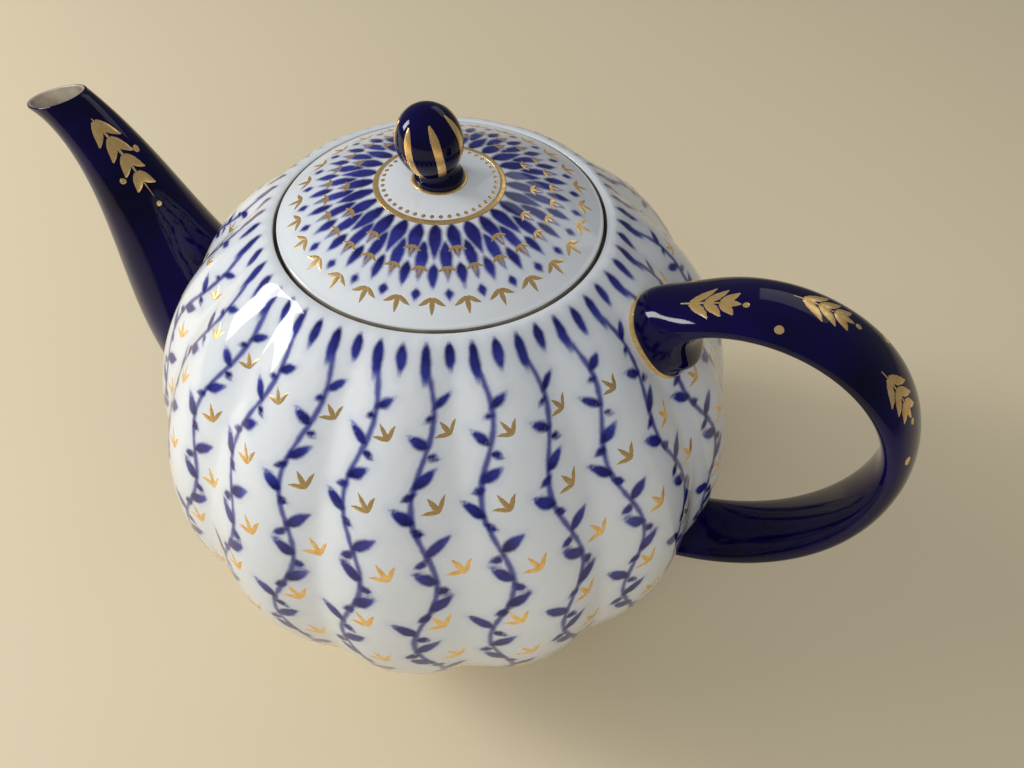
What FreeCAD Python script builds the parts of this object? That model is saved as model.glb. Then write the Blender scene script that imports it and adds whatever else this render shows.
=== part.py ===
import FreeCAD, Part
import math
import os

# Porcelain teapot with a lobed belly. Millimetres, +Z up, origin on the pot's axis at table level.
# The handle stands out along +X and the spout along -X.

# Belly, a rounded form with convex lobes that fade out at the rim and at the base
belly_radius = 74.6         # at a lobe's crest on the widest girth
belly_height = 59.0         # of the widest girth above the table
shoulder_height = 120.5     # where the belly meets the rolled rim
base_radius = 41.0          # where the belly meets its foot
foot_height = 5.0
lobe_count = 14
lobe_depth = 2.4            # crest to valley on the widest girth
lobe_turn = 5.3             # degrees from the handle to the nearest crest
valley_softness = 0.16      # rounding of a valley's crease, 0 is sharp
lobe_fade_top = 10          # power by which the lobes fade out towards the rim, higher is later
lobe_fade_base = 4          # the same towards the base
belly_wall = 4.0
belly_floor = 4.5

# Rolled rim and the gallery that the lid sits in
rim_rise = 1.5              # of the rolled rim above the shoulder
rim_width = 3.4
rim_round = 2.4             # radius of the rolled bead
rim_inset = 1.9             # of the bead's middle inside the shoulder
seat_depth = 3.0            # from the shoulder down to the gallery's seat
seat_width = 5.3
gallery_thickness = 3.5
gallery_slope = 1.5         # fall of the gallery's underside towards the wall

# Foot ring
foot_ring_width = 5.0
foot_ring_bevel = 1.0

# Lid, with the collar below it that keeps it central
lid_radius = 35.8
lid_seam = 0.8              # gap round the lid's edge
lid_edge_drop = 0.2         # of the lid's upright edge below the rim's top
lid_edge_round = 0.5
lid_rise = 9.5              # of the crown above the rim's top
lid_wall = 3.6
flange_wall = 3.6
flange_length = 9.0
flange_clearance = 0.4
steam_hole_radius = 1.75
steam_hole_reach = 11.0     # from the pot's axis
steam_hole_angle = 121.0    # degrees round from the handle

# Knob, an egg on a small turned foot, which leans a little to one side
knob_radius = 7.05
knob_height = 15.8          # of the whole egg
knob_lift = 9.8             # of the egg's middle above the crown
knob_foot_radius = 5.3
knob_neck_radius = 4.5
knob_foot_height = 1.6
knob_lean = 10.5            # degrees from upright
knob_lean_heading = 204.5   # degrees round from the handle

# Spout, a tapering tube along a curve with four control points
spout_root_depth = 18.6     # the curve's start, inside the belly
spout_root_drop = 7.0       # below the widest girth
spout_swell_reach = 23.7    # second point, out from the belly
spout_swell_drop = 13.2     # below the widest girth
spout_rise_reach = 10.1     # third point, out from the belly
spout_rise_drop = 20.5      # below the rim's top
spout_tip_reach = 38.7      # last point, out from the belly
spout_tip_drop = 3.4        # below the rim's top
spout_root_radius = 29.1
spout_tip_radius = 6.75
spout_taper = 1.42          # above 1 the tube narrows faster near its root
spout_wall = 1.8
spout_overrun = 0.14        # share of the curve that the tube runs on before the mouth is cut
mouth_rise = 0.5            # of the cut above the tip point, square to the cut
mouth_tilt = 16.6           # degrees that the mouth leans outwards from level
strainer_hole_radius = 1.7
strainer_ring_radius = 8.0
strainer_ring_count = 6
strainer_share = 0.18       # place along the spout's curve that the holes are level with

# Handle, a strap that follows a tight bow and then a longer curve back to the belly
bow_radius = 30.5
bow_reach = 2.2             # of the bow's centre out from the belly
bow_drop = 28.2             # of the bow's centre below the rim's top
tail_radius = 53.1
strap_width = 16.8          # at the shoulder
tail_width = 19.6           # from the end of the bow on
strap_thickness = 7.2
root_thickness = 19.5       # of the root at the shoulder
root_sag = 2.6              # of that root's middle, towards the inside of the bow
root_flare = 6.5            # length over which it narrows to the strap
root_depth = 8.0            # of the strap's ends inside the belly's surface

# Heights and radii that several pieces share
rim_height = shoulder_height + rim_rise
seat_height = shoulder_height - seat_depth
crown_height = rim_height + lid_rise
rim_inner_radius = lid_radius + lid_seam
shoulder_radius = rim_inner_radius + rim_width
gallery_radius = rim_inner_radius - seat_width      # the way in, inside the seat
gallery_underside = seat_height - gallery_thickness
gallery_joint_height = gallery_underside - gallery_slope
flange_radius = gallery_radius - flange_clearance
lid_hollow_radius = flange_radius - flange_wall

# Number of sections and points that describe the curved skins
points_per_lobe = 8
belly_sections = 6
tube_sections = 13
strap_sections = 23
ring_points = 24


def vec(x, y, z):
    return FreeCAD.Vector(x, y, z)


def closed_wire(points):
    # A smooth loop through evenly numbered points
    count = len(points)
    curve = Part.BSplineCurve()
    steps = [k / count for k in range(count + 1)]
    curve.interpolate(Points=points, PeriodicFlag=True, Parameters=steps)
    return Part.Wire([curve.toShape()])


def open_curve(points):
    curve = Part.BSplineCurve()
    curve.interpolate(Points=points)
    return curve.toShape()


def line(a, b):
    return Part.LineSegment(a, b).toShape()


def arc(a, b, c):
    return Part.Arc(a, b, c).toShape()


def turned(edges):
    # A solid of revolution about Z from a closed outline in the XZ plane
    face = Part.Face(Part.Wire(Part.__sortEdges__(edges)))
    return face.revolve(vec(0, 0, 0), vec(0, 0, 1), 360)


def outline(points):
    return [line(a, b) for a, b in zip(points, points[1:] + points[:1])]


def upper_semi_axis():
    return (shoulder_height - belly_height) / math.sqrt(1 - (shoulder_radius / belly_radius) ** 2)


def lower_semi_axis():
    return (belly_height - foot_height) / math.sqrt(1 - (base_radius / belly_radius) ** 2)


def belly_radius_at(height):
    # Ellipse through the widest girth and the shoulder above it, or the base below it
    semi = upper_semi_axis() if height > belly_height else lower_semi_axis()
    share = min(1.0, abs(height - belly_height) / semi)
    return belly_radius * math.sqrt(1 - share ** 2)


def lobe_shape(angle):
    # 1 on a crest and 0 in a valley, with a rounded crest and a creased valley
    wave = math.cos(lobe_count / 2 * angle)
    low = valley_softness
    return (math.hypot(wave, low) - low) / (math.hypot(1, low) - low)


def belly_section(height, fade):
    radius = belly_radius_at(height)
    count = lobe_count * points_per_lobe
    points = []
    for k in range(count):
        angle = 2 * math.pi * k / count
        reach = radius - lobe_depth * fade * (1 - lobe_shape(angle))
        turn = angle + math.radians(lobe_turn)
        points.append(vec(reach * math.cos(turn), reach * math.sin(turn), height))
    return closed_wire(points)


def belly_skin():
    # Filled belly from its base to the shoulder, sections at even steps round the ellipse
    sections = []
    low_end = math.asin((belly_height - foot_height) / lower_semi_axis())
    top_end = math.asin((shoulder_height - belly_height) / upper_semi_axis())
    for k in range(-belly_sections, belly_sections + 1):
        share = k / belly_sections
        if k < 0:
            height = belly_height + lower_semi_axis() * math.sin(share * low_end)
            fade = 1 - abs(share) ** lobe_fade_base
        else:
            height = belly_height + upper_semi_axis() * math.sin(share * top_end)
            fade = 1 - share ** lobe_fade_top
        sections.append(belly_section(height, fade))
    return Part.makeLoft(sections, True)


def cavity():
    # Room for the tea: a smooth hollow under the gallery, and the way in through it
    inner_radius = belly_radius - lobe_depth - belly_wall
    floor_height = foot_height + belly_floor
    wall_points = []
    steps = 10
    for k in range(steps + 1):
        height = floor_height + (gallery_joint_height - floor_height) * k / steps
        semi = upper_semi_axis() if height > belly_height else lower_semi_axis()
        share = (height - belly_height) / (semi - belly_wall)
        wall_points.append(vec(inner_radius * math.sqrt(1 - share ** 2), 0, height))
    way_in = vec(gallery_radius, 0, gallery_underside)
    way_out = vec(gallery_radius, 0, seat_height)
    edges = [
        line(vec(0, 0, floor_height), wall_points[0]),
        open_curve(wall_points),
        line(wall_points[-1], way_in),
        line(way_in, way_out),
        line(way_out, vec(0, 0, seat_height)),
        line(vec(0, 0, seat_height), vec(0, 0, floor_height)),
    ]
    return turned(edges)


def rolled_rim():
    # A round bead over the edge of the shoulder
    return Part.makeTorus(shoulder_radius - rim_inset, rim_round, vec(0, 0, rim_height - rim_round))


def strainer_holes():
    # Holes through the belly wall behind the spout, one in the middle and a ring round it
    height = spout_axis(strainer_share).z
    places = [(0, height)]
    for k in range(strainer_ring_count):
        angle = 2 * math.pi * k / strainer_ring_count
        side = strainer_ring_radius * math.sin(angle)
        places.append((side, height + strainer_ring_radius * math.cos(angle)))
    start = -belly_radius / 2
    holes = [
        Part.makeCylinder(strainer_hole_radius, belly_radius, vec(start, y, z), vec(-1, 0, 0))
        for y, z in places
    ]
    return Part.makeCompound(holes)


def above_gallery_joint():
    # Everything above the level where the gallery ring is set on the belly's open top
    return Part.makeCylinder(belly_radius, rim_height, vec(0, 0, gallery_joint_height))


def pot_body(skin):
    return skin.cut(cavity()).cut(strainer_holes()).cut(above_gallery_joint())


def rim_gallery(skin):
    seat = Part.makeCylinder(rim_inner_radius, rim_height, vec(0, 0, seat_height))
    shoulder = skin.common(above_gallery_joint())
    return shoulder.fuse(rolled_rim()).cut(seat).cut(cavity())


def foot_ring():
    outer = base_radius
    inner = base_radius - foot_ring_width
    bevel = foot_ring_bevel
    points = [
        vec(inner, 0, foot_height),
        vec(inner, 0, bevel),
        vec(inner + bevel, 0, 0),
        vec(outer - bevel, 0, 0),
        vec(outer, 0, bevel),
        vec(outer, 0, foot_height),
    ]
    return turned(outline(points))


def dome_height(radius):
    # Spherical crown from the rounded edge up to the middle of the lid
    edge_radius = lid_radius - lid_edge_round
    edge_height = rim_height - lid_edge_drop + lid_edge_round
    rise = crown_height - edge_height
    sphere = (edge_radius ** 2 + rise ** 2) / (2 * rise)
    return crown_height - sphere + math.sqrt(sphere ** 2 - radius ** 2)


def lid():
    edge_base = rim_height - lid_edge_drop
    dome_radius = lid_radius - lid_edge_round
    middle_radius = (dome_radius + knob_foot_radius) / 2
    bend = lid_edge_round * math.sqrt(0.5)
    dome_start = vec(dome_radius, 0, dome_height(dome_radius))
    pad = vec(knob_foot_radius, 0, dome_height(knob_foot_radius))
    hollow_top = vec(0, 0, crown_height - lid_wall)
    hollow_side = vec(lid_hollow_radius, 0, dome_height(lid_hollow_radius) - lid_wall)
    half = lid_hollow_radius / 2
    edges = [
        line(vec(lid_hollow_radius, 0, seat_height), vec(lid_radius, 0, seat_height)),
        line(vec(lid_radius, 0, seat_height), vec(lid_radius, 0, edge_base)),
        arc(vec(lid_radius, 0, edge_base), vec(dome_radius + bend, 0, edge_base + bend), dome_start),
        arc(dome_start, vec(middle_radius, 0, dome_height(middle_radius)), pad),
        line(pad, vec(0, 0, pad.z)),
        line(vec(0, 0, pad.z), hollow_top),
        arc(hollow_top, vec(half, 0, dome_height(half) - lid_wall), hollow_side),
        line(hollow_side, vec(lid_hollow_radius, 0, seat_height)),
    ]
    angle = math.radians(steam_hole_angle)
    start = vec(steam_hole_reach * math.cos(angle), steam_hole_reach * math.sin(angle), seat_height)
    hole = Part.makeCylinder(steam_hole_radius, crown_height, start)
    return turned(edges).cut(hole)


def lid_flange():
    base = vec(0, 0, seat_height - flange_length)
    collar = Part.makeCylinder(flange_radius, flange_length, base)
    return collar.cut(Part.makeCylinder(lid_hollow_radius, flange_length, base))


def lid_knob():
    # The egg and its neck are tilted about the middle of the foot and cut level with the foot's base
    base = dome_height(knob_foot_radius)
    middle = crown_height + knob_lift
    half = knob_height / 2
    low_angle = -math.acos(knob_neck_radius / knob_radius)
    root = vec(knob_neck_radius, 0, base - knob_foot_height)
    steps = 8
    egg = []
    for k in range(steps + 1):
        angle = low_angle + (math.pi / 2 - low_angle) * k / steps
        egg.append(vec(knob_radius * math.cos(angle), 0, middle + half * math.sin(angle)))
    egg[-1].x = 0
    edges = [
        line(vec(0, 0, root.z), root),
        line(root, egg[0]),
        open_curve(egg),
        line(egg[-1], vec(0, 0, root.z)),
    ]
    leaning = turned(edges)
    heading = math.radians(knob_lean_heading)
    leaning.rotate(vec(0, 0, base), vec(-math.sin(heading), math.cos(heading), 0), knob_lean)
    below = Part.makeCylinder(knob_radius * 2, knob_height, vec(0, 0, base - knob_height))
    foot = Part.makeCylinder(knob_foot_radius, knob_foot_height, vec(0, 0, base))
    return foot.fuse(leaning.cut(below))


def spout_controls():
    reach = [-spout_root_depth, spout_swell_reach, spout_rise_reach, spout_tip_reach]
    heights = [
        belly_height - spout_root_drop,
        belly_height - spout_swell_drop,
        rim_height - spout_rise_drop,
        rim_height - spout_tip_drop,
    ]
    return [vec(-(belly_radius + r), 0, h) for r, h in zip(reach, heights)]


def spout_axis(share):
    # Cubic curve through the first and last control points
    a, b, c, d = spout_controls()
    rest = 1 - share
    inner = b * (3 * share * rest ** 2) + c * (3 * share ** 2 * rest)
    return a * rest ** 3 + inner + d * share ** 3


def spout_direction(share):
    a, b, c, d = spout_controls()
    rest = 1 - share
    slope = (b - a) * rest ** 2 + (c - b) * (2 * share * rest) + (d - c) * share ** 2
    return slope.normalize()


def spout_radius(share):
    return spout_tip_radius + (spout_root_radius - spout_tip_radius) * max(0.0, 1 - share) ** spout_taper


def ring(centre, direction, half_thickness, half_width):
    # Oval loop square to a direction that lies in the XZ plane, its width along Y
    across = vec(0, 1, 0)
    outwards = across.cross(direction)
    points = []
    for k in range(ring_points):
        angle = 2 * math.pi * k / ring_points
        offset = outwards * (half_thickness * math.cos(angle)) + across * (half_width * math.sin(angle))
        points.append(centre + offset)
    return closed_wire(points)


def spout_tube(wall):
    sections = []
    for k in range(tube_sections):
        share = (1 + spout_overrun) * k / (tube_sections - 1)
        radius = spout_radius(share) - wall
        sections.append(ring(spout_axis(share), spout_direction(share), radius, radius))
    return Part.makeLoft(sections, True)


def above_mouth():
    # Everything beyond the sloping plane that the spout is cut off at
    tilt = math.radians(mouth_tilt)
    normal = vec(-math.sin(tilt), 0, math.cos(tilt))
    slope = vec(-math.cos(tilt), 0, -math.sin(tilt))
    centre = spout_controls()[-1] + normal * mouth_rise
    size = spout_root_radius * 2
    corner = centre - slope * size - vec(0, 1, 0) * size
    corners = [
        corner,
        corner + slope * (2 * size),
        corner + slope * (2 * size) + vec(0, 2 * size, 0),
        corner + vec(0, 2 * size, 0),
    ]
    return Part.Face(Part.makePolygon(corners + corners[:1])).extrude(normal * size)


def spout(skin):
    outside = spout_tube(0).cut(skin)
    return outside.cut(spout_tube(spout_wall)).cut(above_mouth())


def handle_path():
    # Points and directions along the strap, from inside the shoulder round to inside the belly
    bow_x = belly_radius + bow_reach
    bow_z = rim_height - bow_drop
    tail_x = bow_x + bow_radius - tail_radius

    def bow(degrees):
        angle = math.radians(degrees)
        return vec(bow_x + bow_radius * math.cos(angle), 0, bow_z + bow_radius * math.sin(angle))

    def tail(degrees):
        angle = math.radians(degrees)
        return vec(tail_x + tail_radius * math.cos(angle), 0, bow_z + tail_radius * math.sin(angle))

    def inside(point):
        return point.x < belly_radius_at(point.z) - root_depth

    start = next(d for d in range(90, 270) if inside(bow(d)))
    end = next(d for d in range(0, -180, -1) if inside(tail(d)))
    bow_length = bow_radius * math.radians(start)
    length = bow_length + tail_radius * math.radians(-end)
    path = []
    for k in range(strap_sections):
        along = length * k / (strap_sections - 1)
        if along < bow_length:
            degrees = start - math.degrees(along / bow_radius)
            point = bow(degrees)
        else:
            degrees = -math.degrees((along - bow_length) / tail_radius)
            point = tail(degrees)
        angle = math.radians(degrees)
        path.append((point, vec(math.sin(angle), 0, -math.cos(angle)), along, min(1.0, along / bow_length)))
    return path


def handle(skin):
    sections = []
    for point, direction, along, round_bow in handle_path():
        flare = math.exp(-(max(0.0, along - root_depth) / root_flare) ** 2)
        thickness = strap_thickness + (root_thickness - strap_thickness) * flare
        width = strap_width + (tail_width - strap_width) * round_bow
        inwards = vec(0, 1, 0).cross(direction)
        sections.append(ring(point + inwards * (root_sag * flare), direction, thickness / 2, width / 2))
    return Part.makeLoft(sections, True).cut(skin)


def main():
    os.makedirs("parts", exist_ok=True)
    skin = belly_skin()
    pieces = {
        "pot_body": pot_body(skin),
        "rim_gallery": rim_gallery(skin),
        "foot_ring": foot_ring(),
        "spout": spout(skin),
        "handle": handle(skin),
        "lid": lid(),
        "lid_flange": lid_flange(),
        "lid_knob": lid_knob(),
    }
    for name, shape in pieces.items():
        solids = shape.Solids
        print(name, "solids", len(solids), "valid", shape.isValid(), "cm3", round(shape.Volume / 1000, 2))
        solid = solids[0] if len(solids) == 1 else shape
        solid.exportStep("parts/" + name + ".step")


main()
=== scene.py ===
import math

import bpy
import numpy as np
from mathutils import Matrix


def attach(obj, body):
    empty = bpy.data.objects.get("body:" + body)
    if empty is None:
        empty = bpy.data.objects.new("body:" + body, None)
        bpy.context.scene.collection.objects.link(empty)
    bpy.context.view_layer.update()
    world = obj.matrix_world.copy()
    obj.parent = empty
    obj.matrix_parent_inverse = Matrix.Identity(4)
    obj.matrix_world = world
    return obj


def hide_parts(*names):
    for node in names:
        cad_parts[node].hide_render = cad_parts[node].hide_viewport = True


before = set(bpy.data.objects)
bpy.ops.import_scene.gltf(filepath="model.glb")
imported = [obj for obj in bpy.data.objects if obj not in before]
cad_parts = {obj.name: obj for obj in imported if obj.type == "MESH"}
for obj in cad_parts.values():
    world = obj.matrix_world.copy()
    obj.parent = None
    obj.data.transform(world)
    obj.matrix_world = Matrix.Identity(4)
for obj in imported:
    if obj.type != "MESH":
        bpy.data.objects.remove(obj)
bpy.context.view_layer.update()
scene = bpy.context.scene
mm = 0.001
print("frame loaded, nodes:", ", ".join(sorted(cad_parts)))


def addAimed(name, data, side, up, back, place):
    # A camera or lamp by its own three axes and its place in metres
    axes = np.eye(4)
    axes[:3] = np.column_stack([side, up, back, place])
    item = bpy.data.objects.new(name, data)
    scene.collection.objects.link(item)
    item.matrix_world = Matrix(axes.tolist())
    return item


# Camera at the place and tilt that the photograph was taken from
camera = {
    "place": (0.07816, -0.13125, 0.2417),   # metres
    "forward": (-0.2701, 0.5927, -0.7588), "right": (0.9100, 0.4147, 0.0),
    "roll": 0.0298,     # radians
    "lens": 30.23, "sensor": 36.0, "clip": (0.01, 20.0),
}


def placeCamera():
    forward, right = np.array(camera["forward"]), np.array(camera["right"])
    up = np.cross(right, forward)
    c, s = math.cos(camera["roll"]), math.sin(camera["roll"])
    data = bpy.data.cameras.new("photoCamera")
    data.lens = camera["lens"]
    data.sensor_width = camera["sensor"]
    data.clip_start, data.clip_end = camera["clip"]
    scene.camera = addAimed(
        "photoCamera", data, c * right + s * up, c * up - s * right, -forward, camera["place"])


placeCamera()
print("camera placed")


# Mesh and surface helpers, all lengths in millimetres until the mesh is written
slopeStep = 1e-3    # step over which a surface's slope is taken
unpainted = 50.0    # millimetres, farther from any stroke than its colour reaches


def ringMesh(name, rings, loop=False, fields=None):
    # Closed rings[piece, row, column], joined row to row by quads. The rows of a piece form a loop, or each
    # end closes in a fan on its middle. fields are values at the points.
    if rings.ndim == 3:
        rings = rings[None]
    count, rows, cols = rings.shape[:3]
    ids = np.arange(count * rows * cols).reshape(count, rows, cols)
    low = ids if loop else ids[:, :-1]
    high = np.roll(ids, -1, axis=1) if loop else ids[:, 1:]
    quads = np.stack([low, np.roll(low, -1, 2), np.roll(high, -1, 2), high], -1).reshape(-1, 4)
    points = rings.reshape(-1, 3)
    triangles = np.concatenate([quads[:, [0, 1, 2]], quads[:, [0, 2, 3]]])
    fans = np.zeros((0, 3), int)
    if not loop:
        middles = rings[:, [0, -1]].mean(axis=2).reshape(-1, 3)
        hubs = (len(points) + np.arange(count * 2)).reshape(count, 2, 1) + np.zeros((1, 1, cols), int)
        points = np.concatenate([points, middles])
        first = np.stack([np.roll(ids[:, 0], -1, 1), ids[:, 0], hubs[:, 0]], -1)
        last = np.stack([ids[:, -1], np.roll(ids[:, -1], -1, 1), hubs[:, 1]], -1)
        fans = np.concatenate([first, last]).reshape(-1, 3)
    corners = points[np.concatenate([triangles, fans])]
    volume = np.einsum("ij,ij->", corners[:, 0], np.cross(corners[:, 1], corners[:, 2]))
    mesh = bpy.data.meshes.new(name)
    mesh.from_pydata((points * mm).tolist(), [], quads.tolist() + fans.tolist())
    if volume < 0:
        mesh.flip_normals()
    mesh.polygons.foreach_set("use_smooth", np.ones(len(mesh.polygons), bool))
    for field, values in (fields or {}).items():
        ends = [] if loop else [values[0].mean(), values[-1].mean()]
        layer = mesh.attributes.new(field, "FLOAT", "POINT")
        layer.data.foreach_set("value", np.concatenate([values.ravel(), ends]).astype(np.float32))
    piece = bpy.data.objects.new(name, mesh)
    scene.collection.objects.link(piece)
    return piece


def unit(vectors):
    return vectors / np.linalg.norm(vectors, axis=-1, keepdims=True)


def roundAngles(count, shift=0.0):
    # Even steps of angle all the way round
    return (np.arange(count) + shift) * 2 * math.pi / count


def polar(angle, radius, height):
    # Points by angle, radius and height about the pot's axis
    return np.stack([radius * np.cos(angle), radius * np.sin(angle), height + 0 * angle], -1)


def turnedRings(profile, cols):
    # A profile of (radius, height) points carried round the pot's axis
    return polar(roundAngles(cols), profile[:, :1], profile[:, 1:])


def arcPoints(centre, radius, start, end, count=6):
    # Points on a circle from one angle to another, in degrees
    angle = np.radians(np.linspace(start, end, count))
    return np.stack([centre[0] + radius * np.cos(angle), centre[1] + radius * np.sin(angle)], -1)


def linePoints(a, b, count=4):
    # Even steps from one point to another, the last one left out
    t = np.arange(count)[:, None] / count
    return np.array(a) * (1 - t) + np.array(b) * t


def roundedProfile(points, radius, count=5, most=0.45):
    # A polyline whose corners are turned by quadratic bends, up to a share of the stretch on either side
    points = np.array(points, float)
    t = np.linspace(0, 1, count)[:, None]
    corner = points[1:-1]
    ends = []
    for stretch in (points[:-2] - corner, points[2:] - corner):
        length = np.linalg.norm(stretch, axis=1, keepdims=True)
        ends.append(corner + stretch / length * np.minimum(radius, length * most))
    start, end = ends
    bends = start[:, None] * (1 - t) ** 2 + corner[:, None] * 2 * t * (1 - t) + end[:, None] * t ** 2
    return np.concatenate([points[:1], bends.reshape(-1, 2), points[-1:]])


def smoothJoin(before, start, end, after, count=14):
    # Cubic rows from one ring to another that leave and arrive along their neighbours' slopes
    t = np.linspace(0, 1, count + 2)[1:-1, None, None]
    reach = np.linalg.norm(end - start, axis=-1, keepdims=True)
    leave, arrive = unit(start - before) * reach, unit(after - end) * reach
    fade = t * t * (3 - 2 * t)
    return start * (1 - fade) + end * fade + leave * t * (1 - t) ** 2 - arrive * t * t * (1 - t)


def crossing(values, places):
    # Place along each column at which its values first fall below zero, by linear steps
    below = np.argmax(values < 0, axis=0)
    cols = np.arange(values.shape[1])
    a, b = values[below - 1, cols], values[below, cols]
    return places[below - 1] + (places[below] - places[below - 1]) * a / (a - b)


def boreHoles(piece, starts, ends, radius, sides=24, crease=50):
    # Round holes cut through a piece: closed tubes from each start to its end, taken away by a Boolean.
    # Edges that bend by more than crease degrees stay sharp.
    starts, ends = np.atleast_2d(starts).astype(float), np.atleast_2d(ends).astype(float)
    along = unit(ends - starts)
    side = unit(np.cross(along, np.where(np.abs(along[:, 2:]) > 0.9, (1.0, 0, 0), (0, 0, 1.0))))
    turn = roundAngles(sides)[:, None]
    circle = radius * (np.cos(turn) * side[:, None] + np.sin(turn) * np.cross(along, side)[:, None])
    tubes = np.stack([starts[:, None] + circle, ends[:, None] + circle], 1)
    cutter = ringMesh(piece.name + "Cutter", tubes)
    hole = piece.modifiers.new("holes", "BOOLEAN")
    hole.operation, hole.solver, hole.object = "DIFFERENCE", "EXACT", cutter
    whole = piece.data
    piece.data = bpy.data.meshes.new_from_object(piece.evaluated_get(bpy.context.evaluated_depsgraph_get()))
    piece.modifiers.clear()
    piece.data.name = whole.name
    piece.data.set_sharp_from_angle(angle=math.radians(crease))
    cutterMesh = cutter.data
    bpy.data.objects.remove(cutter)
    bpy.data.meshes.remove(cutterMesh)
    bpy.data.meshes.remove(whole)


# A skin is a surface function of two values, p and q

def slopeP(skin, p, q):
    return skin(p + slopeStep, q) - skin(p - slopeStep, q)


def slopeQ(skin, p, q):
    return skin(p, q + slopeStep) - skin(p, q - slopeStep)


def perUnit(slope):
    # Millimetres of surface to one unit of p or q
    return np.linalg.norm(slope, axis=-1) / (2 * slopeStep)


def skinNormal(skin, p, q):
    # Cross product of the two slopes of a surface, brought to unit length
    return unit(np.cross(slopeP(skin, p, q), slopeQ(skin, p, q)))


# Strokes of the gold and of the brush
brush = {
    "leafSwell": (0.06, 0.90, 0.80), "strokeSwell": (0.04, 0.92, 0.75),
    "leafBlunt": 0.05,          # share of a leaf's width that its ends keep
    "dotEnds": (0.06, 0.94),    # shares of a circle's height
}


def swelling(t, start, span, power):
    # Half a sine from root to tip, its fullest part moved by a power
    return np.sin(math.pi * (start + span * t) ** power)


def leafStroke(x, y, length, width, heading, bend=0.0, points=5):
    # A leaf from (x, y): its half width swells as a sine and its line turns evenly by bend degrees
    t = np.linspace(0, 1, points)
    turn = np.radians(heading + bend * (t - 0.5))
    step = length / (points - 1)
    line = np.stack([np.sin(turn), np.cos(turn)], -1) * step
    line = np.concatenate([np.zeros((1, 2)), np.cumsum((line[1:] + line[:-1]) / 2, axis=0)])
    blunt = brush["leafBlunt"]
    half = width / 2 * (swelling(t, *brush["leafSwell"]) * (1 - blunt) + blunt)
    return np.column_stack([line + (x, y), half])


def dotStroke(x, y, radius, points=5):
    # A round dot as a short stroke whose half width follows a circle
    t = np.linspace(*brush["dotEnds"], points)
    rise = -np.cos(math.pi * t) * radius
    return np.column_stack([np.full(points, x), y + rise, np.sin(math.pi * t) * radius])


def leafSpray(settings):
    # Dots, pairs of leaves along a stem, and single leaves, each with the same number of points
    points, (apart, width, heading, bend) = settings["points"], settings["leafShape"]
    strokes = [dotStroke(*dot, points) for dot in settings["dots"]]
    for y, length in settings["leafPairs"]:
        for side in (1, -1):
            strokes += [leafStroke(side * apart, y, length, width, side * heading, side * bend, points)]
    strokes += [leafStroke(*leaf, points=points) for leaf in settings["leaves"]]
    return np.stack(strokes)


def goldStrokes(name, body, skin, anchors, motif, size=1.0, turn=0.0, thick=0.05, around=6, crease=60):
    # A motif of strokes (x, y, half width) laid on a surface round each anchor (p, q). Each stroke is
    # a closed flat pillow that follows the surface, with a thin lens as its section.
    anchors = np.atleast_2d(anchors)
    size, turn = (np.broadcast_to(v, len(anchors))[:, None, None] for v in (size, np.radians(turn)))
    x, y, half = (motif[None, :, :, k] * size for k in range(3))
    x, y = x * np.cos(turn) + y * np.sin(turn), y * np.cos(turn) - x * np.sin(turn)
    dx, dy = np.gradient(x, axis=2), np.gradient(y, axis=2)
    length = np.hypot(dx, dy)
    lens = roundAngles(around)
    x = x[..., None] + (dy / length * half)[..., None] * np.cos(lens)
    y = y[..., None] - (dx / length * half)[..., None] * np.cos(lens)
    p0, q0 = (anchors[:, k].reshape(-1, 1, 1, 1) for k in range(2))
    q = q0 + y / perUnit(slopeQ(skin, p0, q0))
    p = p0 + x / perUnit(slopeP(skin, p0, q))
    points = skin(p, q) + skinNormal(skin, p, q) * (thick * np.sin(lens))[:, None]
    piece = ringMesh(name, points.reshape(-1, motif.shape[1], around, 3))
    piece.data.set_sharp_from_angle(angle=math.radians(crease))
    fit(piece, body, goldLustre, "gold_lustre")


def goldBand(name, body, skin, q, half, thick=0.07, cols=120, sides=8):
    # A painted line all round a surface: a thin lens section carried round at one q
    lens = roundAngles(sides)[:, None]
    p = roundAngles(cols)[None, :]
    q = q + half * np.cos(lens) / perUnit(slopeQ(skin, p, q))
    p = p + 0 * lens
    points = skin(p, q) + skinNormal(skin, p, q) * (thick * np.sin(lens))[..., None]
    fit(ringMesh(name, points, loop=True), body, goldLustre, "gold_lustre")


def addStrokes(ink, tone, x, y, strokes):
    # Signed distance in millimetres to the nearest brush stroke, and that stroke's paleness from root to tip.
    # A stroke is (x, y, heading, length, half width, tone at root, tone at tip).
    for x0, y0, heading, length, half, toneRoot, toneTip in strokes:
        s, c = math.sin(math.radians(heading)), math.cos(math.radians(heading))
        along = (x - x0) * s + (y - y0) * c
        across = (x - x0) * c - (y - y0) * s
        t = np.clip(along / length, 0, 1)
        width = half * swelling(t, *brush["strokeSwell"])
        gap = np.hypot(across, along - t * length) - width
        tone = np.where(gap < ink, toneRoot + (toneTip - toneRoot) * t, tone)
        ink = np.minimum(ink, gap)
    return ink, tone


# Materials

def newMaterial(name):
    material = bpy.data.materials.new(name)
    material.use_nodes = True
    tree = material.node_tree
    return material, tree, tree.nodes["Principled BSDF"]


def addNode(tree, kind, inputs, **settings):
    # inputs are plain values, or outputs of other nodes to link
    node = tree.nodes.new(kind)
    for key, value in settings.items():
        setattr(node, key, value)
    for key, value in inputs.items():
        if hasattr(value, "is_linked"):
            tree.links.new(value, node.inputs[key])
        else:
            node.inputs[key].default_value = value
    return node


def noiseAt(tree, scale, fine=2.0):
    # Soft noise on the piece's own coordinates, scale in waves per metre
    place = addNode(tree, "ShaderNodeTexCoord", {}).outputs["Object"]
    inputs = {"Vector": place, "Scale": scale, "Detail": fine}
    return addNode(tree, "ShaderNodeTexNoise", inputs).outputs["Fac"]


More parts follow.
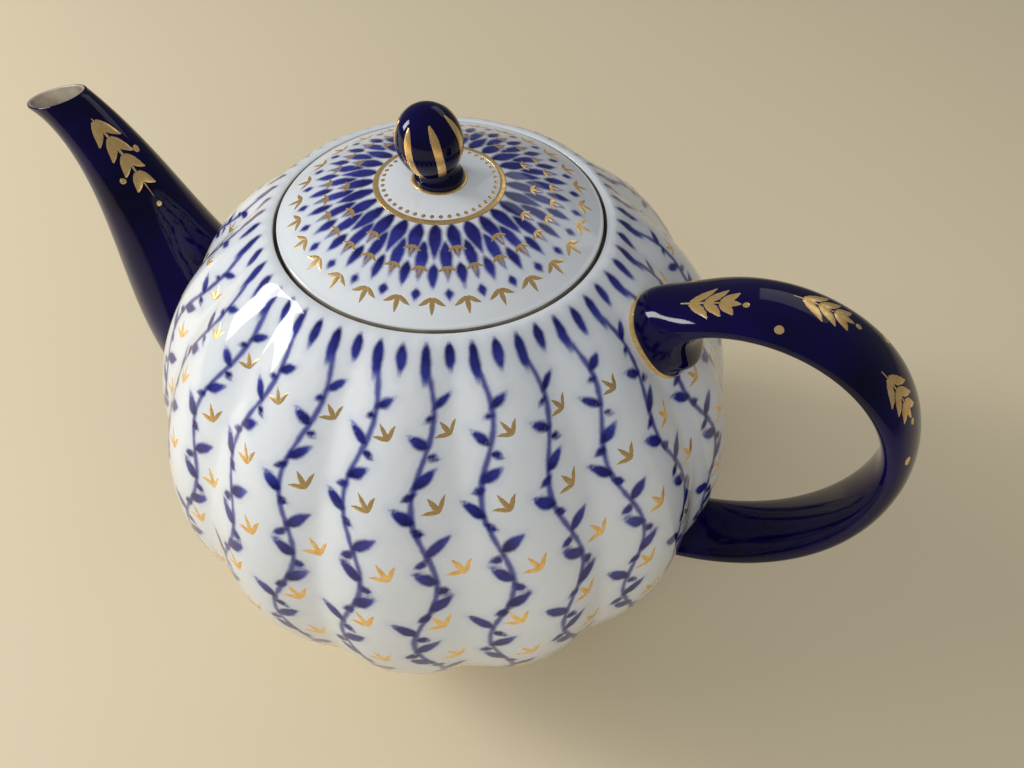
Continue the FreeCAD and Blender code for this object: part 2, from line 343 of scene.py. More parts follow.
def ramp(tree, factor, stops):
    node = addNode(tree, "ShaderNodeValToRGB", {"Fac": factor})
    bar = node.color_ramp.elements
    while len(bar) < len(stops):
        bar.new(0.5)
    for element, (place, colour) in zip(bar, stops):
        element.position = place
        element.color = (*colour, 1)
    return node.outputs["Color"]


def remap(tree, value, low, high, toLow=0.0, toHigh=1.0):
    return addNode(tree, "ShaderNodeMapRange", {
        "Value": value, "From Min": low, "From Max": high, "To Min": toLow, "To Max": toHigh},
        interpolation_type="SMOOTHSTEP").outputs["Result"]


def mathNode(tree, operation, a, b=0.0):
    return addNode(tree, "ShaderNodeMath", {0: a, 1: b}, operation=operation).outputs[0]


def mixColour(tree, factor, a, b):
    return addNode(tree, "ShaderNodeMix", {0: factor, 6: a, 7: b}, data_type="RGBA").outputs[2]


def addBump(tree, shader, scale, strength, distance):
    bump = addNode(tree, "ShaderNodeBump", {
        "Height": noiseAt(tree, scale), "Strength": strength, "Distance": distance})
    tree.links.new(bump.outputs["Normal"], shader.inputs["Normal"])


glaze = {
    "whites": ((0.3, (0.67, 0.705, 0.73)), (0.7, (0.72, 0.75, 0.77))), "whiteScale": 30,
    "cobaltDeep": (0.008, 0.008, 0.100),
    "cobaltMid": (0.028, 0.034, 0.25), "midTone": 0.45,
    "cobaltPale": (0.15, 0.20, 0.50),
    "bleed": 0.14,          # share of pale blue that the glaze carries beside a stroke
    "bleedReach": 2.2,      # millimetres
    "edgeSoft": 0.50,       # millimetres over which a brush stroke's edge fades
    "lineHalf": 0.62,       # half width of the painted stems
    "lineCover": 0.9,
    "wander": (330, 0.25, 0.75, 0.16),  # scale, noise range, millimetres that a stroke's edge wanders
    "pool": (240, 0.3, 0.7, 0.14),      # scale, noise range, change of tone
    "roughness": 0.07, "bump": (90, 0.10, 0.0006),      # scale, strength, depth in metres
}


def makePaintedGlaze():
    # White glaze over cobalt brushwork: the points carry the distance to the nearest stroke and its paleness
    material, tree, shader = newMaterial("paintedWhiteGlaze")
    ink, tone, line, beyond = (
        addNode(tree, "ShaderNodeAttribute", {}, attribute_name=field).outputs["Fac"]
        for field in ("ink", "tone", "line", "beyond"))
    wobble, pooling = (
        remap(tree, noiseAt(tree, scale), low, high, -most, most)
        for scale, low, high, most in (glaze["wander"], glaze["pool"]))
    soft = glaze["edgeSoft"]
    stroke = mathNode(tree, "ADD", ink, wobble)
    stem = mathNode(tree, "ADD", mathNode(tree, "ABSOLUTE", line), wobble)
    stem = mathNode(tree, "SUBTRACT", mathNode(tree, "ADD", stem, beyond), glaze["lineHalf"])
    paint = ramp(tree, mathNode(tree, "ADD", tone, pooling), [
        (0.0, glaze["cobaltDeep"]), (glaze["midTone"], glaze["cobaltMid"]), (1.0, glaze["cobaltPale"])])
    white = ramp(tree, noiseAt(tree, glaze["whiteScale"]), glaze["whites"])
    nearest = mathNode(tree, "MINIMUM", stroke, stem)
    bleed = remap(tree, nearest, glaze["bleedReach"], 0.0, 0.0, glaze["bleed"])
    white = mixColour(tree, bleed, white, (*glaze["cobaltPale"], 1))
    onLine = remap(tree, stem, soft, -soft, 0.0, glaze["lineCover"])
    lined = mixColour(tree, onLine, white, (*glaze["cobaltMid"], 1))
    painted = mixColour(tree, remap(tree, stroke, soft, -soft), lined, paint)
    tree.links.new(painted, shader.inputs["Base Color"])
    shader.inputs["Roughness"].default_value = glaze["roughness"]
    addBump(tree, shader, *glaze["bump"])
    return material


gold = {
    "wear": (700, 4), "wearRange": (0.3, 0.7),      # scale and fineness of the worn patches
    "rich": (0.90, 0.54, 0.18), "light": (1.0, 0.74, 0.34),
    "roughness": (0.36, 0.22),  # where it lies thin and where it is burnished
    "metallic": 0.80,           # the film is thin, and the glaze under it scatters some light
}


def makeGoldLustre():
    # Burnished gold lustre, thinner and duller in patches
    material, tree, shader = newMaterial("burnishedGold")
    wear = noiseAt(tree, *gold["wear"])
    low, high = gold["wearRange"]
    colour = ramp(tree, wear, [(low, gold["rich"]), (high, gold["light"])])
    tree.links.new(colour, shader.inputs["Base Color"])
    tree.links.new(remap(tree, wear, low, high, *gold["roughness"]), shader.inputs["Roughness"])
    shader.inputs["Metallic"].default_value = gold["metallic"]
    return material


# Dense cobalt under a clear gloss, a little brighter where the colour lies thin
cobalt = {
    "name": "deepCobaltGlaze", "noise": (55, 3),
    "shades": ((0.3, (0.0015, 0.001, 0.014)), (0.72, (0.0045, 0.002, 0.052))),
    "roughness": 0.06, "specular": 0.28, "bump": (110, 0.08, 0.0005),
}
# Unglazed porcelain: matt, with a fine grain
bare = {
    "name": "barePorcelain", "noise": (900, 4),
    "shades": ((0.3, (0.66, 0.63, 0.58)), (0.6, (0.76, 0.74, 0.70))),
    "roughness": 0.62, "bump": (1400, 0.25, 0.0002),
}
# Unglazed porcelain of the seat and the lid's side, tea-stained and darkened further as painted shade, so the
# narrow gap round the lid reads as a dark line
seatStainShade = {
    "name": "seatStainAndShade", "noise": (220, 4),
    "shades": ((0.3, (0.20, 0.17, 0.13)), (0.65, (0.34, 0.30, 0.24))),
    "roughness": 0.6,
}
# Thin clear glaze inside the spout, a brownish tan
lining = {
    "name": "spoutLining", "noise": (160, 4),
    "shades": ((0.3, (0.26, 0.20, 0.13)), (0.65, (0.50, 0.44, 0.35))),
    "roughness": 0.3, "bump": (500, 0.15, 0.0003),
}


def makeMottled(settings):
    # Two shades mixed by soft noise, one gloss all over and a faint unevenness
    material, tree, shader = newMaterial(settings["name"])
    shade = ramp(tree, noiseAt(tree, *settings["noise"]), settings["shades"])
    tree.links.new(shade, shader.inputs["Base Color"])
    shader.inputs["Roughness"].default_value = settings["roughness"]
    if "specular" in settings:
        shader.inputs["Specular IOR Level"].default_value = settings["specular"]
    if "bump" in settings:
        addBump(tree, shader, *settings["bump"])
    return material


paintedGlaze, goldLustre = makePaintedGlaze(), makeGoldLustre()
cobaltGlaze, barePorcelain, seatStainAndShade, spoutLining = (
    makeMottled(settings) for settings in (cobalt, bare, seatStainShade, lining))
print("materials made")


def fit(piece, body, material, slot, *nodes):
    piece.data.materials.append(material)
    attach(piece, body)
    if nodes:
        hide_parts(*nodes)
    return piece


def paintZone(piece, material, radii, heights):
    # Faces whose middle lies between two radii and two heights take a second material
    mesh = piece.data
    middles = np.empty(len(mesh.polygons) * 3)
    mesh.polygons.foreach_get("center", middles)
    x, y, z = middles.reshape(-1, 3).T / mm
    radius = np.hypot(x, y)
    inZone = (radius > radii[0]) & (radius < radii[1]) & (z > heights[0]) & (z < heights[1])
    mesh.materials.append(material)
    mesh.polygons.foreach_set("material_index", inZone.astype(np.int32))


# Belly with its rim, seat and hollow
belly = {
    "radius": 74.6, "height": 59.0, "shoulder": 120.5, "shoulderRadius": 40.0,
    "baseRadius": 41.0, "footHeight": 5.0, "baseHub": 2.0, "baseGap": 0.3, "baseLift": 0.15,
    "lobes": 14, "lobeDepth": 2.4, "lobeTurn": 5.3, "valleySoftness": 0.16, "fadeTop": 10, "fadeBase": 4,
    "columns": 448, "rows": 146, "tableSteps": 801,
    "rimInner": 36.6, "rimTop": 121.8, "rimEdge": 0.3, "rimBlend": 4.5,
    "seat": 117.5, "galleryInner": 31.3, "galleryUnder": 114.0, "ledgeRound": 0.7,
    # zone of the dark seat material: painted shade of the gap round the lid, with tea stain
    "stainShadeRadii": (31.2, 36.65), "stainShadeHeights": (117.4, 121.5),
    "wall": 4.0, "wallTop": 112.5, "wallLead": 4.0, "wallGap": 1.0,
    "floor": 9.5, "floorBend": 6.0, "floorInset": (1.0, 12.0), "floorGap": 4.0, "floorHub": 1.0,
    "strainerHeight": 54.1, "strainerRing": 8.0, "strainerHole": 1.7,
    "strainerReach": (0.5, 1.2),    # shares of the belly's radius between which the holes are cut
}
riseUp, riseLow = belly["shoulder"] - belly["height"], belly["height"] - belly["footHeight"]
semiUp = riseUp / math.sqrt(1 - (belly["shoulderRadius"] / belly["radius"]) ** 2)
semiLow = riseLow / math.sqrt(1 - (belly["baseRadius"] / belly["radius"]) ** 2)
topEnd, lowEnd = math.asin(riseUp / semiUp), math.asin(riseLow / semiLow)
lobeTurn = math.radians(belly["lobeTurn"])


def lobeWave(angle):
    # 1 on a crest and 0 in a valley, with a rounded crest and a creased valley
    soft = belly["valleySoftness"]
    wave = np.cos(belly["lobes"] / 2 * (angle - lobeTurn))
    return (np.hypot(wave, soft) - soft) / (math.hypot(1, soft) - soft)


def bellyPoint(angle, share):
    # Half ellipses from the base (share -1) over the girth (0) to the shoulder (1), drawn in between lobes
    bow = np.where(share > 0, topEnd, lowEnd) * share
    height = belly["height"] + np.where(share > 0, semiUp, semiLow) * np.sin(bow)
    fade = 1 - np.abs(share) ** np.where(share > 0, belly["fadeTop"], belly["fadeBase"])
    radius = belly["radius"] * np.cos(bow) - belly["lobeDepth"] * fade * (1 - lobeWave(angle))
    return polar(angle, radius, height)


shareTable = np.linspace(1, -1, belly["tableSteps"])
meridian = bellyPoint(np.full(belly["tableSteps"], lobeTurn), shareTable)
lengthTable = np.concatenate([[0], np.cumsum(np.linalg.norm(np.diff(meridian, axis=0), axis=1))])
bellyLength = lengthTable[-1]
girthTable = np.hypot(meridian[:, 0], meridian[:, 1])


def bellySkin(angle, down):
    # The belly's outside by angle and by length down from the shoulder
    return bellyPoint(angle, np.interp(down, lengthTable, shareTable))


def bellyDepth(points):
    # How far points lie inside the belly's skin, along the radius
    height = np.clip(points[..., 2], belly["footHeight"] + 0.01, belly["shoulder"] - 0.01)
    up = height > belly["height"]
    bow = np.arcsin((height - belly["height"]) / np.where(up, semiUp, semiLow))
    skin = bellyPoint(np.arctan2(points[..., 1], points[..., 0]), bow / np.where(up, topEnd, lowEnd))
    return np.hypot(skin[..., 0], skin[..., 1]) - np.hypot(points[..., 0], points[..., 1])


def wallRadius(height):
    # Inner wall of the hollow, an ellipse inside the valleys
    semi = np.where(np.asarray(height) > belly["height"], semiUp, semiLow) - belly["wall"]
    share = (np.asarray(height) - belly["height"]) / semi
    return (belly["radius"] - belly["lobeDepth"] - belly["wall"]) * np.sqrt(1 - share ** 2)


# Painted vines, whose cross lengths are shares of half the room that each vine has
vine = {
    "count": 28, "wave": 0.34, "waveLength": 38.0, "start": 3.0, "end": 126.0,
    "firstLeaf": 12.0, "leafStep": 7.6, "leaves": 15,
    "leaf": (0.0, 126.0, 0.80, 0.19, 0.0, 0.6),     # drop, heading, length, half width, tones
    "bud": (1.5, -62.0, 0.40, 0.14, 0.1, 0.3),
    "garland": ((0.0, 8.5), (1.0, 6.5), (-1.0, 6.5)),   # place across and length in millimetres
    "garlandStart": -0.8, "garlandAt": 3.0, "garlandStroke": (0.24, 0.0, 0.6),      # half width, tones
}
vinePitch = 2 * math.pi / vine["count"]


def vineHalf(down):
    # Half the room that each vine has round the belly
    return vinePitch / 2 * np.interp(down, lengthTable, girthTable)


def vineLine(down):
    # The stem sways from side to side of its room, as a share of the room's half width
    return vine["wave"] * np.sin(2 * math.pi * (down - vine["start"]) / vine["waveLength"])


def vineNodes():
    # Length down, side and place across of each leaf's node
    down = vine["firstLeaf"] + vine["leafStep"] * np.arange(vine["leaves"])
    side = np.where(np.arange(vine["leaves"]) % 2 == 0, 1.0, -1.0)
    return down, side, vineLine(down)


def bellyPaint(angle, down):
    # Two vines to a lobe, side by side. A point is held against the nearest vine and the next nearest one,
    # and the stem's distance changes sign on each second vine, so both fields meet half way between vines.
    turn = (angle - lobeTurn) / vinePitch + 0.5
    nearest = np.round(turn)
    across = (turn - nearest) * 2
    ink, tone = np.full(angle.shape, unpainted), np.zeros(angle.shape)
    for nodeDown, side, place in zip(*vineNodes()):
        width = float(vineHalf(nodeDown))
        strokes = [
            (place * width, nodeDown + drop, side * heading, length * width, half * width, *tones)
            for drop, heading, length, half, *tones in (vine["leaf"], vine["bud"])]
        for shift in (0.0, 2.0):
            x = (across - shift * np.where(across < 0, -1, 1)) * width
            ink, tone = addStrokes(ink, tone, x, down, strokes)
    top = float(vineHalf(vine["garlandAt"]))
    half, *tones = vine["garlandStroke"]
    ink, tone = addStrokes(ink, tone, across * top, down, [
        (place * top, vine["garlandStart"], 0.0, length, half * top, *tones)
        for place, length in vine["garland"]])
    line = (across - vineLine(down)) * vineHalf(down) * np.where(nearest % 2 == 0, 1, -1)
    beyond = np.maximum(0, vine["start"] - down) + np.maximum(0, down - vine["end"])
    return {"ink": ink, "tone": tone, "line": line, "beyond": beyond}


def bellyInside(bead):
    # Profile from the rim's bead over the seat and the gallery, down the wall and in to the floor's middle
    seat, wallTop, floor, gallery = (belly[key] for key in ("seat", "wallTop", "floor", "galleryInner"))
    lead = wallTop - belly["wallLead"]
    ledge = roundedProfile([
        bead[-1], (belly["rimInner"], seat), (gallery, seat), (gallery, belly["galleryUnder"]),
        (wallRadius(wallTop), wallTop), (wallRadius(lead), lead)], belly["ledgeRound"], count=3)
    wallHeight = np.linspace(lead - belly["wallGap"], floor + belly["floorBend"], num=14)
    wall = np.stack([wallRadius(wallHeight), wallHeight], -1)
    corner, flat = (wallRadius(floor) - inset for inset in belly["floorInset"])
    floorEdge = roundedProfile([wall[-1], (corner, floor), (flat, floor)], belly["floorBend"])
    floorFlat = linePoints(floorEdge[-1] - (belly["floorGap"], 0), (belly["floorHub"], floor))
    return np.concatenate([bead, ledge[1:], wall, floorEdge[1:], floorFlat])


def boreStrainer(piece):
    # One hole in the middle and six round it, through the wall behind the spout
    turn = roundAngles(6)
    side = np.append(0, belly["strainerRing"] * np.sin(turn))
    height = belly["strainerHeight"] + np.append(0, belly["strainerRing"] * np.cos(turn))
    starts, ends = (
        np.column_stack([np.full(len(side), -belly["radius"] * reach), side, height])
        for reach in belly["strainerReach"])
    boreHoles(piece, starts, ends, belly["strainerHole"])


def makeBelly():
    cols, low, edge = belly["columns"], belly["footHeight"], belly["rimEdge"]
    angle = roundAngles(cols)
    base = linePoints((belly["baseHub"], low), (belly["baseRadius"] - belly["baseGap"], low))
    base = turnedRings(base, cols)
    down = np.linspace(bellyLength - belly["baseLift"], belly["rimBlend"], belly["rows"])
    outside = bellySkin(*np.meshgrid(angle, down))
    bead = arcPoints((belly["rimInner"] + edge, belly["rimTop"] - edge), edge, 90, 180)
    blend = smoothJoin(outside[-2], outside[-1], *turnedRings(bead[:2], cols))
    climb = np.linalg.norm(np.diff(np.concatenate([outside[-1:], blend]), axis=0), axis=-1).mean(axis=1)
    down = np.concatenate([down, belly["rimBlend"] - np.cumsum(climb)])
    paint = bellyPaint(*np.meshgrid(angle, down))
    inside = turnedRings(bellyInside(bead), cols)
    plainBase, plainInside = (np.full(rings.shape[:2], unpainted) for rings in (base, inside))
    piece = ringMesh("lobedBelly", np.concatenate([base, outside, blend, inside]), fields={
        field: np.concatenate([plainBase, values, plainInside]) for field, values in paint.items()})
    fit(piece, "pot", paintedGlaze, "white_glaze", "pot_body", "rim_gallery")
    boreStrainer(piece)
    # The seat and the rim's inner wall take the dark seat material: painted shade of the gap round the lid,
    # with tea stain
    paintZone(piece, seatStainAndShade, belly["stainShadeRadii"], belly["stainShadeHeights"])


makeBelly()
print("belly made")


def bareRing(name, body, node, profile, bend, cols):
    # An unglazed ring from a closed profile with rounded corners
    rings = turnedRings(roundedProfile(profile, bend)[:-1], cols)
    fit(ringMesh(name, rings, loop=True), body, barePorcelain, "bare_porcelain", node)


# Foot ring
foot = {"outer": 41.0, "inner": 36.0, "height": 5.0, "bevel": 1.0, "round": 0.6, "columns": 168}


def makeFoot():
    o, i, h, b = foot["outer"], foot["inner"], foot["height"], foot["bevel"]
    profile = [(i, h), (i, b), (i + b, 0), (o - b, 0), (o, b), (o, h), ((o + i) / 2, h), (i, h)]
    bareRing("footRing", "pot", "foot_ring", profile, foot["round"], foot["columns"])


makeFoot()
print("foot made")


# Spout
spout = {
    "curve": ((-56.0, 52.0), (-98.3, 45.8), (-84.7, 101.5), (-113.3, 118.6)),
    "rootRadius": 29.1, "tipRadius": 6.75, "taper": 1.42, "wall": 1.8, "lipWall": 0.9, "lipRows": 9,
    "thinFrom": 0.6,        # share of the curve from which the wall thins towards the lip
    "mouthRise": 0.5, "mouthTilt": 16.6, "rootSink": 1.2, "columns": 96, "rows": 72,
    "rowEase": 0.9,         # power that sets the rows closer towards the mouth
    "mouthWithin": (0.6, 1.14),     # shares of the curve
}
mouthTilt = math.radians(spout["mouthTilt"])
mouthNormal = np.array((-math.sin(mouthTilt), 0, math.cos(mouthTilt)))


def spoutAxis(share):
    # Cubic curve through its first and last points, with its direction
    a, b, c, d = (np.array(p) for p in spout["curve"])
    s = np.asarray(share)[..., None]
    r = 1 - s
    place = a * r ** 3 + b * 3 * s * r ** 2 + c * 3 * s ** 2 * r + d * s ** 3
    slope = (b - a) * r ** 2 + (c - b) * 2 * s * r + (d - c) * s ** 2
    return place, unit(slope)


def spoutRadius(share):
    # Narrows by a power of what is left of the curve
    spread = spout["rootRadius"] - spout["tipRadius"]
    return spout["tipRadius"] + spread * np.maximum(0, 1 - share) ** spout["taper"]


def spoutSkin(angle, share, inner=0.0):
    # Circles square to the curve; inner 1 is the bore
    place, along = spoutAxis(share)
    wall = np.interp(share, (spout["thinFrom"], 1.0), (spout["wall"], spout["lipWall"]))
    radius = spoutRadius(share) - inner * wall
    outX, outZ = along[..., 1], -along[..., 0]
    x = place[..., 0] + outX * radius * np.cos(angle)
    z = place[..., 1] + outZ * radius * np.cos(angle)
    return np.stack([x, radius * np.sin(angle), z], -1)


def mouthGap(points):
    # Height left below the sloping plane of the mouth
    tipX, tipZ = spout["curve"][3]
    return (np.array((tipX, 0, tipZ)) + mouthNormal * spout["mouthRise"] - points) @ mouthNormal


def makeSpout():
    # Two walls from the belly to the mouth, joined by half a circle at the lip
    angle = roundAngles(spout["columns"])
    mouthFrom, mouthTo = spout["mouthWithin"]
    share = np.linspace(0, mouthTo, num=500)
    rows = np.linspace(0, 1, spout["rows"])[:, None]
    lip = spout["lipWall"] / 2
    walls = []
    for inner in (0.0, 1.0):
        tube = spoutSkin(*np.meshgrid(angle, share), inner)
        root = crossing(bellyDepth(tube) - spout["rootSink"], share)
        mouth = crossing(np.where(share[:, None] > mouthFrom, mouthGap(tube) - lip, 1.0), share)
        walls.append(spoutSkin(angle, root + (mouth - root) * rows ** spout["rowEase"], inner))
    outside, inside = walls
    edge = np.radians(np.linspace(0, 180, spout["lipRows"] + 2)[1:-1])[:, None, None]
    middle, half = (outside[-1] + inside[-1]) / 2, (outside[-1] - inside[-1]) / 2
    rolled = middle + half * np.cos(edge) + mouthNormal * lip * np.sin(edge)
    rings = np.concatenate([outside, rolled, inside[::-1]])
    piece = fit(ringMesh("curvedSpout", rings, loop=True), "pot", cobaltGlaze, "cobalt_glaze", "spout")
    piece.data.materials.append(spoutLining)
    lined = np.arange(len(rings)) >= len(outside) + len(rolled) // 2
    piece.data.polygons.foreach_set("material_index", np.repeat(lined, spout["columns"]).astype(np.int32))


makeSpout()
print("spout made")


# Handle
strap = {
    "bowCentre": (76.8, 93.8), "bowRadius": 30.5, "tailRadius": 53.1, "bowStart": 157.0, "tailEnd": -80.0,
    "width": 16.8, "tailWidth": 19.6, "thickness": 7.2,
    "rootThickness": 19.5, "rootSag": 2.6, "rootFlare": 6.5, "rootDepth": 8.0,
    "leadIn": 4.3,      # of the line inside the belly
    "rootSink": 1.2, "columns": 64, "rows": 150,
    "bandRise": 0.5, "bandHalf": 0.95,
}
bowLength = strap["bowRadius"] * math.radians(strap["bowStart"])
strapLength = bowLength + strap["tailRadius"] * math.radians(-strap["tailEnd"])


def strapAxis(along):
    # A tight bow from inside the shoulder, then a wider arc back to the belly
    along = np.asarray(along)
    onBow = along < bowLength
    angle = np.where(onBow, math.radians(strap["bowStart"]) - along / strap["bowRadius"],
                     -(along - bowLength) / strap["tailRadius"])
    radius = np.where(onBow, strap["bowRadius"], strap["tailRadius"])
    centreX, centreZ = strap["bowCentre"]
    centre = np.where(onBow, centreX, centreX + strap["bowRadius"] - strap["tailRadius"])
    out = np.stack([np.cos(angle), np.sin(angle)], -1)
    return np.stack([centre, 0 * centre + centreZ], -1) + radius[..., None] * out, out


def strapSkin(angle, along):
    # Ovals square to the strap's line, widening round the bow; the root at the shoulder is fuller and sags.
    # Angle 0 is the outer face.
    place, out = strapAxis(along)
    swell = np.exp(-(np.maximum(0, along - strap["rootDepth"]) / strap["rootFlare"]) ** 2)
    thick = strap["thickness"] / 2 + (strap["rootThickness"] - strap["thickness"]) / 2 * swell
    bowShare = np.clip(along / bowLength, 0, 1)
    wide = strap["width"] / 2 + (strap["tailWidth"] - strap["width"]) / 2 * bowShare
    reach = thick * np.cos(angle) - strap["rootSag"] * swell
    x = place[..., 0] + out[..., 0] * reach
    z = place[..., 1] + out[..., 1] * reach
    return np.stack([x, wide * np.sin(angle), z], -1)


def makeHandle():
    # The strap, sunk a little at both ends, with a gold line round its upper root
    angle = roundAngles(strap["columns"])
    along = np.linspace(-strap["leadIn"], strapLength, num=1200)
    room = -bellyDepth(strapSkin(*np.meshgrid(angle, along)))
    middle = len(along) // 2
    upperRoom, upperAlong = room[:middle][::-1], along[:middle][::-1]
    upper = crossing(upperRoom + strap["rootSink"], upperAlong)
    lower = crossing(room[middle:] + strap["rootSink"], along[middle:])
    rows = np.linspace(0, 1, strap["rows"])[:, None]
    rings = strapSkin(angle, upper + (lower - upper) * rows)
    fit(ringMesh("strapHandle", rings), "pot", cobaltGlaze, "cobalt_glaze", "handle")
    bandAt = crossing(upperRoom, upperAlong) + strap["bandRise"]
    goldBand("goldRootBand", "pot", strapSkin, bandAt, strap["bandHalf"], cols=strap["columns"])


makeHandle()


# Gold sprigs on the belly; a leaf is x, y, length, width, heading and bend
sprig = {
    "across": 0.72, "rise": 2.0, "lean": 35,
    "fullSizeAt": 61.0,     # length down the belly
    "leaves": (
        (0, -0.6, 4.9, 1.45, 0, 0), (0.3, -0.4, 4.0, 1.25, 52, 30), (-0.3, -0.4, 4.0, 1.25, -52, -30)),
    "margin": 3.0, "spoutTo": 0.6,
}


def clearOfRoots(points):
    # Whether points clear the spout and the handle by a margin
    share = np.linspace(0, sprig["spoutTo"], num=60)
    along = np.linspace(0, strapLength, num=240)
    strapHalf = np.full(len(along), strap["tailWidth"] / 2)
    clear = np.ones(len(points), bool)
    for place, radius in ((spoutAxis(share)[0], spoutRadius(share)), (strapAxis(along)[0], strapHalf)):
        axis = np.stack([place[:, 0], 0 * radius, place[:, 1]], -1)
        gap = np.linalg.norm(points[:, None] - axis[None], axis=-1) - radius
        clear &= gap.min(axis=1) > sprig["margin"]
    return clear


def makeBellyGold():
    # A three-leaved sprig beside each second node, away from the painted leaf
    down, side, place = (values[1::2] for values in vineNodes())
    across = place - side * sprig["across"]
    turn = np.arange(vine["count"])[:, None] - 0.5 + across[None, :] / 2
    angle = lobeTurn + turn * vinePitch
    anchors = np.stack([angle, down[None, :] - sprig["rise"] + 0 * angle], -1).reshape(-1, 2)
    clear = clearOfRoots(bellySkin(*anchors.T))
    size = np.tile(vineHalf(down) / vineHalf(sprig["fullSizeAt"]), vine["count"])[clear]
    lean = np.tile(side * sprig["lean"], vine["count"])[clear]
    motif = np.stack([leafStroke(*leaf, points=4) for leaf in sprig["leaves"]])
    goldStrokes("goldSprigs", "pot", bellySkin, anchors[clear], motif, size, 180 - lean, around=4)


makeBellyGold()


# Gold sprays along the handle, with dots between them
handleGold = {
    "dots": ((0, 11.6, 0.7),),
    "leafPairs": ((0.0, 6.0), (3.2, 5.2), (6.4, 4.2)),      # place and length
    "leafShape": (0.3, 2.1, 40, 28),    # apart, width, heading, bend
    "leaves": ((0, -2, 12.0, 0.7, 0), (0, 7.6, 3.0, 1.6, 0)), "points": 5,
    "sprays": (5, 12.0, (-0.35, 0.30)), "loneDots": (6, 10.0, (0.75, -0.85)),   # count, first place, angles
    "step": 19.0, "dotRadius": 0.95,
}


def findStrapStart():
    # Where the strap's middle line leaves the belly
    along = np.linspace(-strap["leadIn"], strapLength, num=2000)
    place = strapAxis(along)[0]
    depth = bellyDepth(np.stack([place[:, 0], 0 * along, place[:, 1]], -1))
    return along[np.argmax(depth < 0)]


def alongStrap(count, first, angles):
    # Even steps along the strap, by turns on either side of its middle
    steps = np.arange(count)
    along = findStrapStart() + first + handleGold["step"] * steps
    return np.column_stack([np.where(steps % 2 == 0, *angles), along])


def makeHandleGold():
    sprays, dots = alongStrap(*handleGold["sprays"]), alongStrap(*handleGold["loneDots"])
    goldStrokes("goldHandleSprays", "pot", strapSkin, sprays, leafSpray(handleGold))
    goldStrokes("goldHandleDots", "pot", strapSkin, dots, dotStroke(0, 0, handleGold["dotRadius"])[None])


makeHandleGold()


# Gold spray on the spout, hanging from a place below the lip, with dots beside it
spoutGold = {
    "anchor": (-0.30, 0.90),    # radians round the spout and share of its curve
    "dots": ((0, -26.0, 0.75), (4.2, -11.5, 0.95), (-4.2, -16.5, 0.8)),
    "leafPairs": ((-0.6, 6.8), (-5.8, 6.3), (-11.0, 5.8), (-16.2, 5.3)),
    "leafShape": (0.3, 2.4, 152, -30), "leaves": ((0, 0.2, 24.0, 0.7, 180),), "points": 13,
}


def makeSpoutGold():
    anchor, motif = spoutGold["anchor"], leafSpray(spoutGold)
    goldStrokes("goldSpoutSpray", "pot", spoutSkin, anchor, motif, thick=0.09, around=8)


makeSpoutGold()
print("handle and gold sprays made")


# Lid with its collar
lid = {
    "radius": 35.8, "seat": 117.5, "edgeBase": 121.8, "edgeRound": 0.5, "edgeFrom": 75,
    "crown": 131.5, "hub": 0.6, "columns": 360, "rows": 64,
    "wall": 3.6, "hollow": 27.3, "hollowLead": 3.0, "hollowGap": 1.0, "cornerRound": 0.6,
    "collarOuter": 30.9, "collarBase": 108.5, "collarRound": 0.9, "collarColumns": 180,
    "steamHole": (11.0, 121.0, 1.75),   # reach, degrees round, radius
    # zone of the dark seat material: painted shade of the gap round the lid, with tea stain
    "cutPast": 5.0, "stainShadeRadii": (30.9, 35.9), "stainShadeHeights": (117.4, 121.8),
    "sectors": 28,
    "petals": (     # places across in sectors, start, length, half width, tone at root, tone at tip
        ((0.0,), 14.2, 8.0, 1.55, 0.0, 0.45),
        ((0.5, -0.5), 18.6, 8.4, 1.30, 0.1, 0.65),
        ((0.0,), 23.4, 5.0, 1.15, 0.05, 0.5),
        ((0.5, -0.5), 28.6, 2.2, 0.9, 0.2, 0.5),
    ),
}
domeRadius = lid["radius"] - lid["edgeRound"]
domeRise = lid["crown"] - lid["edgeBase"] - lid["edgeRound"]
domeSphere = (domeRadius ** 2 + domeRise ** 2) / (2 * domeRise)


def domeHeight(radius):
    # Spherical crown through the middle and the rounded edge
    return lid["crown"] - domeSphere + np.sqrt(domeSphere ** 2 - np.asarray(radius) ** 2)


def lidSkin(angle, radius):
    # The lid's top by angle and radius
    return polar(angle, radius, domeHeight(radius))


def lidPaint(angle, radius):
    # Petals, longer leaves between them and a row of dots, the same in every sector
    pitch = 2 * math.pi / lid["sectors"]
    turn = angle / pitch
    across = turn - np.round(turn)
    far = np.full(angle.shape, unpainted)
    ink, tone = far, np.zeros(angle.shape)
    for places, start, *stroke in lid["petals"]:
        for place in places:
            x = (across - place) * pitch * radius
            ink, tone = addStrokes(ink, tone, x, radius, [(0.0, start, 0.0, *stroke)])
    return {"ink": ink, "tone": tone, "line": far, "beyond": far}


